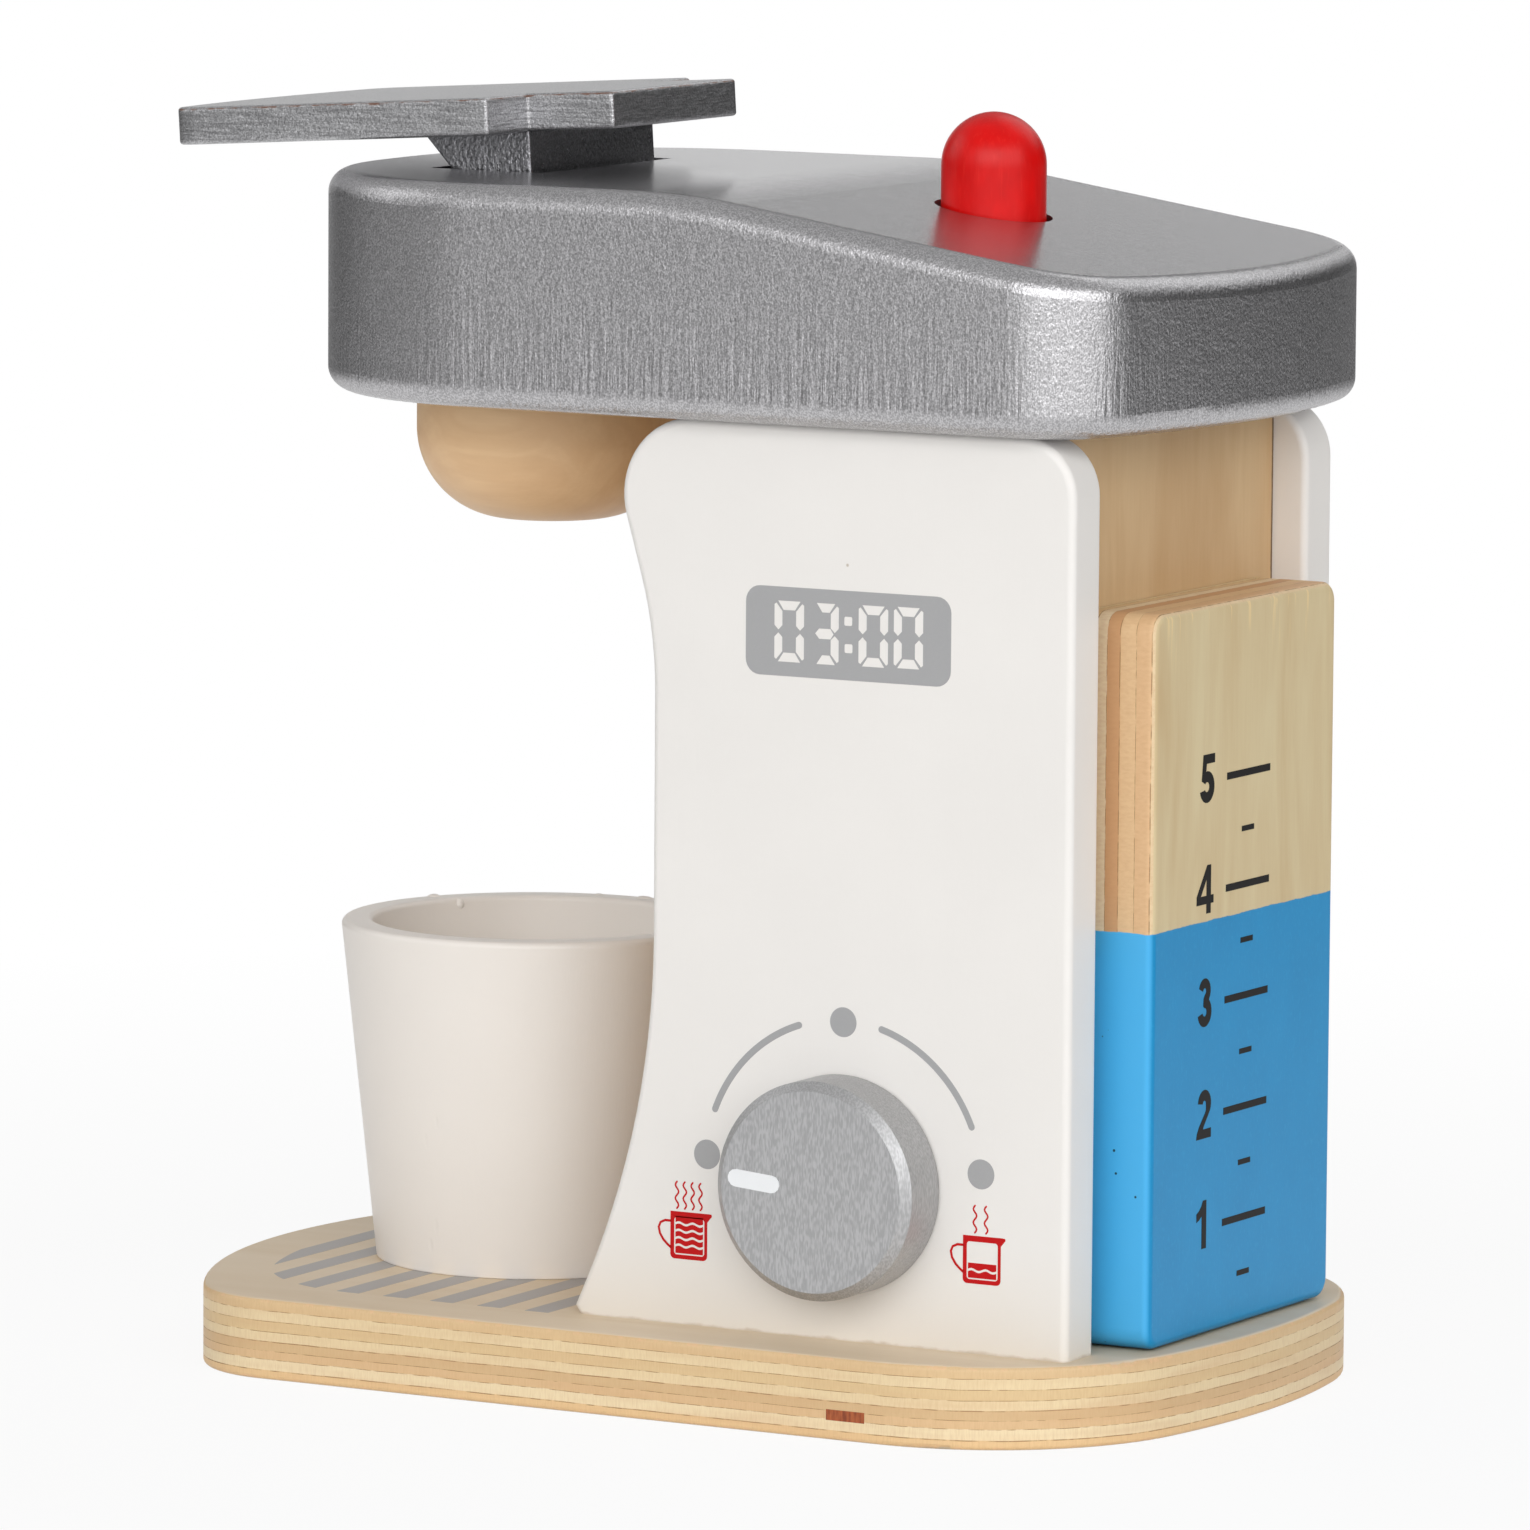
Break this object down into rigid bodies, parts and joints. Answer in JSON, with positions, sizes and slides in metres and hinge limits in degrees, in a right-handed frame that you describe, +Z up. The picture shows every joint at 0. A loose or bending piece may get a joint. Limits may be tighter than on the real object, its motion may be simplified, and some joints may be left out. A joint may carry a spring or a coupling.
{
  "type": "toy coffee maker",
  "caption": "Wooden toy coffee maker with a rocking lid lever, sprung push button, turning dial, slide-off water tank and a loose cup.",
  "frame": {"origin": "centre of the base board's underside", "axes": "+Z up; +X from the cup side to the water tank side; the dial faces -Y"},
  "size_m": [0.1722, 0.1072, 0.1879],
  "materials": {
    "plywood": "sanded birch plywood, clear lacquer",
    "bare_wood": "sanded, clear lacquer",
    "white_paint": "satin white paint",
    "silver_paint": "satin silver paint",
    "red_paint": "gloss red paint",
    "spring_steel": "zinc plated"
  },
  "bodies": {
    "housing": {"base_board": "plywood", "side_panel_dial": "white_paint", "side_panel_plain": "white_paint", "core_front_wall": "plywood", "core_rear_wall": "plywood", "head_block": "silver_paint", "spout": "bare_wood", "spout_dowel": "bare_wood", "lid_pin": "bare_wood", "button_plug": "bare_wood", "button_spring": "spring_steel", "tank_pegs": "bare_wood", "base_screws": "spring_steel", "head_dowels": "bare_wood", "wall_dowels": "bare_wood"},
    "lid": {"lid_plate": "silver_paint", "lid_block": "silver_paint", "lid_dowels": "bare_wood"},
    "button": {"button": "red_paint"},
    "dial": {"dial_knob": "silver_paint", "dial_axle": "bare_wood", "dial_retainer": "bare_wood", "dial_screw": "spring_steel"},
    "tank": {"water_tank": "plywood"},
    "cup": {"cup": "white_paint"}
  },
  "joints": [
    {"name": "lid_hinge", "type": "hinge", "parent": "housing", "child": "lid", "pos_m": [-0.0369, 0, 0.168], "axis": [0, 1, 0], "range_deg": [-7, 15]},
    {"name": "button_press", "type": "slide", "parent": "housing", "child": "button", "axis": [0, 0, -1], "range_m": [0, 0.006], "stiffness_N_per_m": 200, "springref_m": -0.003, "deforming": ["button_spring"]},
    {"name": "dial_turn", "type": "hinge", "parent": "housing", "child": "dial", "pos_m": [0.0349, 0, 0.0347], "axis": [0, 1, 0], "range_deg": [0, 168]},
    {"name": "tank_pull", "type": "slide", "parent": "housing", "child": "tank", "axis": [1, 0, 0], "range_m": [0, 0.06]},
    {"name": "cup_slide", "type": "slide", "parent": "housing", "child": "cup", "axis": [-1, 0, 0], "range_m": [0, 0.12]}
  ]
}
